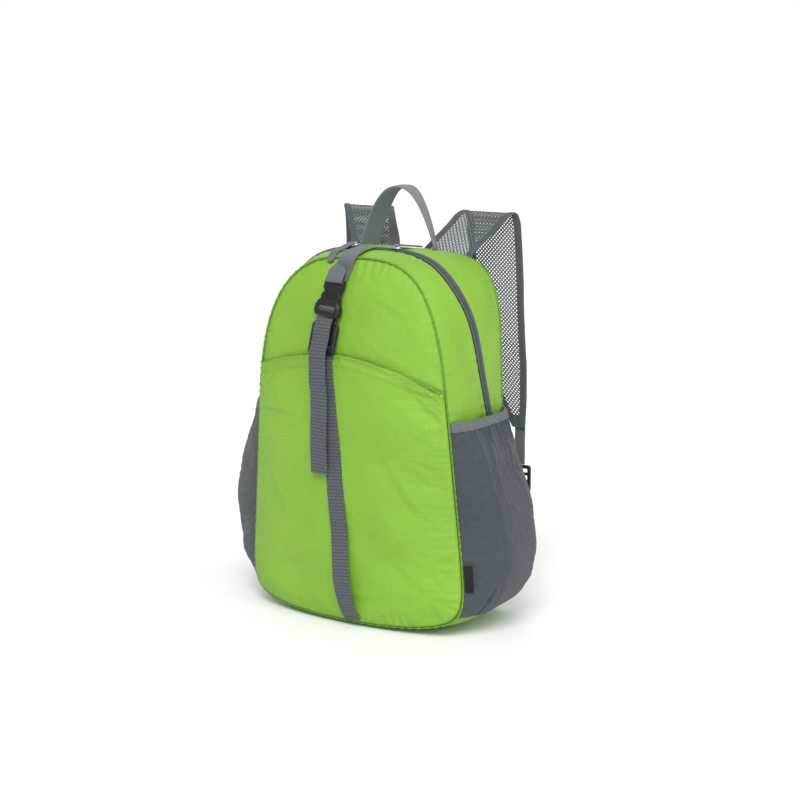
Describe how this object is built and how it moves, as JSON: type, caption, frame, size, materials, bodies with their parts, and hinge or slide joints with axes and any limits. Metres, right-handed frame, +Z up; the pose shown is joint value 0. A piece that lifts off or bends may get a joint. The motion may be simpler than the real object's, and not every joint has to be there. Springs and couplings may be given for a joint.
{
  "type": "packable backpack",
  "caption": "Light packable backpack of ripstop cloth with an arched zip, a slip pocket under a buckled web, stretch side pockets, a grab handle and netted shoulder straps.",
  "frame": {"origin": "middle of the bounding box in plan, on the ground under the bag", "axes": "+Z up the bag, -Y the way its front pocket faces, +X to the right of a viewer who looks at the front"},
  "size_m": [0.3582, 0.2116, 0.47],
  "materials": {
    "shell_cloth": "light ripstop weave, slight sheen",
    "side_cloth": "light ripstop weave, shaded side of the same cloth",
    "stretch_cloth": "matt elastic knit",
    "webbing": "woven tape, matt",
    "binding": "folded edge tape, matt",
    "strap_net": "open spacer net, matt",
    "zip_tape": "woven zip tape with a covered coil",
    "buckle_plastic": "moulded, fine satin grain",
    "zip_metal": "polished",
    "label_cloth": "close woven tape, bare"
  },
  "bodies": {
    "root": {"front_panel": "shell_cloth", "back_panel": "shell_cloth", "front_pocket": "shell_cloth", "base_panel": "shell_cloth", "side_panel_right": "side_cloth", "side_panel_left": "side_cloth", "gusset_front": "shell_cloth", "gusset_rear": "shell_cloth", "zipper": "zip_tape", "side_pocket_right": "stretch_cloth", "pocket_hem_right": "webbing", "side_pocket_left": "stretch_cloth", "pocket_hem_left": "webbing", "label_tab": "label_cloth", "buckle_tongue": "buckle_plastic", "buckle_socket": "buckle_plastic", "strap_adjuster": "buckle_plastic", "lower_strap": "webbing", "upper_strap": "webbing", "slider_right": "zip_metal", "pull_right": "webbing", "slider_left": "zip_metal", "pull_left": "webbing", "grab_handle": "webbing", "shoulder_net_right": "strap_net", "net_binding_right": "binding", "strap_tab_right": "webbing", "ladder_lock_right": "buckle_plastic", "adjuster_strap_right": "webbing", "shoulder_net_left": "strap_net", "net_binding_left": "binding", "strap_tab_left": "webbing", "ladder_lock_left": "buckle_plastic", "adjuster_strap_left": "webbing"}
  },
  "joints": []
}
